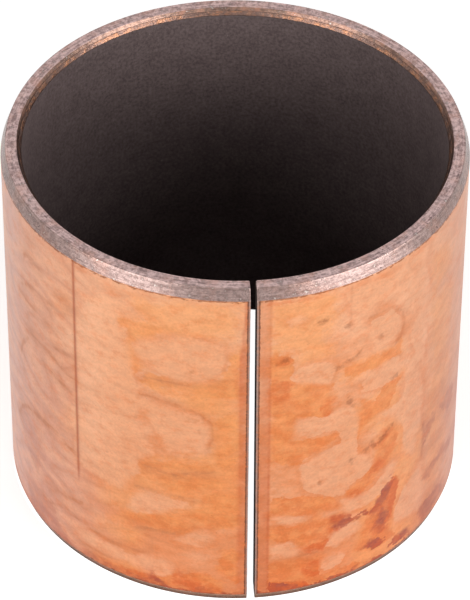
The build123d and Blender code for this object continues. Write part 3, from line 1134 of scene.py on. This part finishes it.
# %% [markdown]
# ### Building the backing
#
# Each side of the cross-section has its own finish: copper on the wall, turned steel on the chamfers
# and the end rings, and sheared steel on the two ends at the joint. The distance round the section
# starts at the foot of the wall, so that its texture coordinate there is the height.

# %% Backing mesh
backing_finishes = [flash, chamfer_steel, end_steel, inner_steel, shaded_lower_steel, sheared_steel]
backing_side_finish = [3, 2, 4, 0, 1, 2, 3, 3]
backing_run = run_along(backing)
foot_of_wall = np.argmax(backing[:, 0] > outer_radius - 0.01 * mm)
backing_run += lower_outer_chamfer - backing_run[foot_of_wall]
backing_piece = rolled_mesh(
    "steel_backing_dressed", radius, level, place, backing_run,
    backing_finishes, backing_side_finish, backing_sides, fields,
)

# %% [markdown]
# ## The sliding lining
#
# The lining is the inner 0.3 mm of the wall: a long thin section whose ends are cut by the same inner
# chamfers. Its bore side carries the dark film, and the chamfers cut through it into the bronze.

# %% Lining mesh
lining_corners = [
    (bore_radius, inner_chamfer_length),
    (bond_radius, lining_start),
    (bond_radius, height - lining_start),
    (bore_radius, height - inner_chamfer_length),
]
lining, lining_sides = cross_section(lining_corners, 0.04 * mm, [3, 4, 3, 60])
lining_radius = np.repeat(lining[:, :1], len(along), axis=1)
lining_level = np.repeat(lining[:, 1:], len(along), axis=1)
lining_place = opened_joint(lining_radius, lining_level, 0.01 * mm)
lining_piece = rolled_mesh(
    "sliding_lining_dressed", lining_radius, lining_level, lining_place, run_along(lining),
    [film, bronze, sheared_steel], [1, 1, 1, 0], lining_sides, {},
)

# %% [markdown]
# ## Onto the frame
#
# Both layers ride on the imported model's only body, and each stands for its own solid.

# %% Ride and replace
for piece, solid, finish_slot in [
    (backing_piece, "steel_backing", "copper_flashed_steel"),
    (lining_piece, "sliding_lining", "filled_sintered_bronze"),
]:
    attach(piece, "root")
    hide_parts(solid)
    print(piece.name, "stands for", solid)

# %% [markdown]
# ## The floor
#
# The floor is pale paint that takes the part's shadow. For the camera and for reflections it also
# glows, a little less close to the part, so it looks white without sending more light to the object.
# Inside the tube it shows plain white, which keeps the slot of the joint clear.

# %% Floor
floor_size = 4
glow_at_part, glow_far, glow_range = 0.61, 0.74, 0.05
glow_for_camera = 0.12


def seen_directly(tree):
    """The kinds of ray, and 1 for what the camera sees straight, mirrored or through glass."""
    rays = tree.nodes.new("ShaderNodeLightPath").outputs
    seen = node(tree, "Math", {0: rays["Is Camera Ray"], 1: rays["Is Glossy Ray"]}, operation="ADD")
    through = {0: seen, 1: rays["Is Transmission Ray"]}
    return rays, node(tree, "Math", through, operation="ADD", use_clamp=True)


bpy.ops.mesh.primitive_plane_add(size=floor_size, location=(0, 0, 0))
floor = bpy.context.object
floor.name = "floor"
# white_floor: matt white paint
floor_material, floor_tree, floor_shader = new_finish("white_floor")
floor_shader.inputs["Base Color"].default_value = linear("#e6e6e6")
floor_shader.inputs["Roughness"].default_value = 0.9
floor_shader.inputs["Specular IOR Level"].default_value = 0.0
rays, seen = seen_directly(floor_tree)
spot = node(floor_tree, "TexCoord", out=3)
from_axis = node(floor_tree, "VectorMath", {0: spot}, out=1, operation="LENGTH")
ends = {0: from_axis, 1: outer_radius, 2: outer_radius + glow_range, 3: glow_at_part, 4: glow_far}
glow = node(floor_tree, "MapRange", ends)
glow = node(floor_tree, "Math", {0: glow, 1: seen}, operation="MULTIPLY")
direct = {0: rays["Is Camera Ray"], 1: glow_for_camera, 2: glow}
glow = node(floor_tree, "Math", direct, operation="MULTIPLY_ADD")
outside = node(floor_tree, "Math", {0: from_axis, 1: outer_radius}, operation="GREATER_THAN")
glow = node(floor_tree, "Mix", {0: outside, 2: rays["Is Camera Ray"], 3: glow}, data_type="FLOAT")
floor_tree.links.new(glow, floor_shader.inputs["Emission Strength"])
floor_shader.inputs["Emission Color"].default_value = (1, 1, 1, 1)
floor.data.materials.append(floor_material)
print("floor", floor_size, "m wide")

# %% [markdown]
# ## Surroundings
#
# The room is white to the camera and to reflections, but gives little light itself, so the inside of
# the tube stays dark.

# %% Surroundings
light_of_room = 0.02
world = bpy.data.worlds.new("white_surroundings")
bpy.context.scene.world = world
world.use_nodes = True
sky_tree = world.node_tree
background = sky_tree.nodes["Background"]
strength = node(sky_tree, "MapRange", {0: seen_directly(sky_tree)[1], 3: light_of_room, 4: 1.0})
background.inputs["Color"].default_value = (1, 1, 1, 1)
sky_tree.links.new(strength, background.inputs["Strength"])
print("room lit at", light_of_room)

# %% [markdown]
# ## Lamps
#
# Polished metal shows what stands round it. Two broad soft lamps stand in front, one to each side, and
# their reflections are the two bright stretches on the chamfer. A third lights the inside of the tube
# from the front. It is hidden from reflections, because the part has no third bright stretch. A faint
# one overhead fills in the rest.

# %% Lamps


def soft_lamp(name, azimuth, distance, height_above, width, tall, radiance, tilt=0.0):
    """Rectangular lamp facing the part's axis. Its power is pi x area x radiance, in watts."""
    lamp = bpy.data.lights.new(name, "AREA")
    lamp.shape, lamp.size, lamp.size_y = "RECTANGLE", width, tall
    lamp.energy = pi * width * tall * radiance
    holder = bpy.data.objects.new(name, lamp)
    holder.location = (sin(azimuth) * distance, -cos(azimuth) * distance, height_above)
    holder.rotation_euler = (pi / 2 - tilt, 0, azimuth)
    bpy.context.scene.collection.objects.link(holder)
    print(f"{name}: {lamp.energy:.2f} W")
    return holder


soft_lamp("lamp_left", camera_azimuth - radians(47), 0.45, 0.19, 0.32, 0.37, 2.7)
soft_lamp("lamp_right", camera_azimuth + radians(56), 0.45, 0.19, 0.38, 0.37, 3.4)
lamp_front = soft_lamp("lamp_front", camera_azimuth, 0.45, 0.12, 0.32, 0.17, 3.3)
lamp_front.visible_glossy = False
soft_lamp("lamp_above", camera_azimuth, 0.1, 0.7, 0.5, 0.5, 0.06, tilt=radians(82))

# %% [markdown]
# ## Finishing
#
# Colours are shown as written, with no film look on top.

# %% Finish
bpy.context.scene.view_settings.view_transform = "Standard"
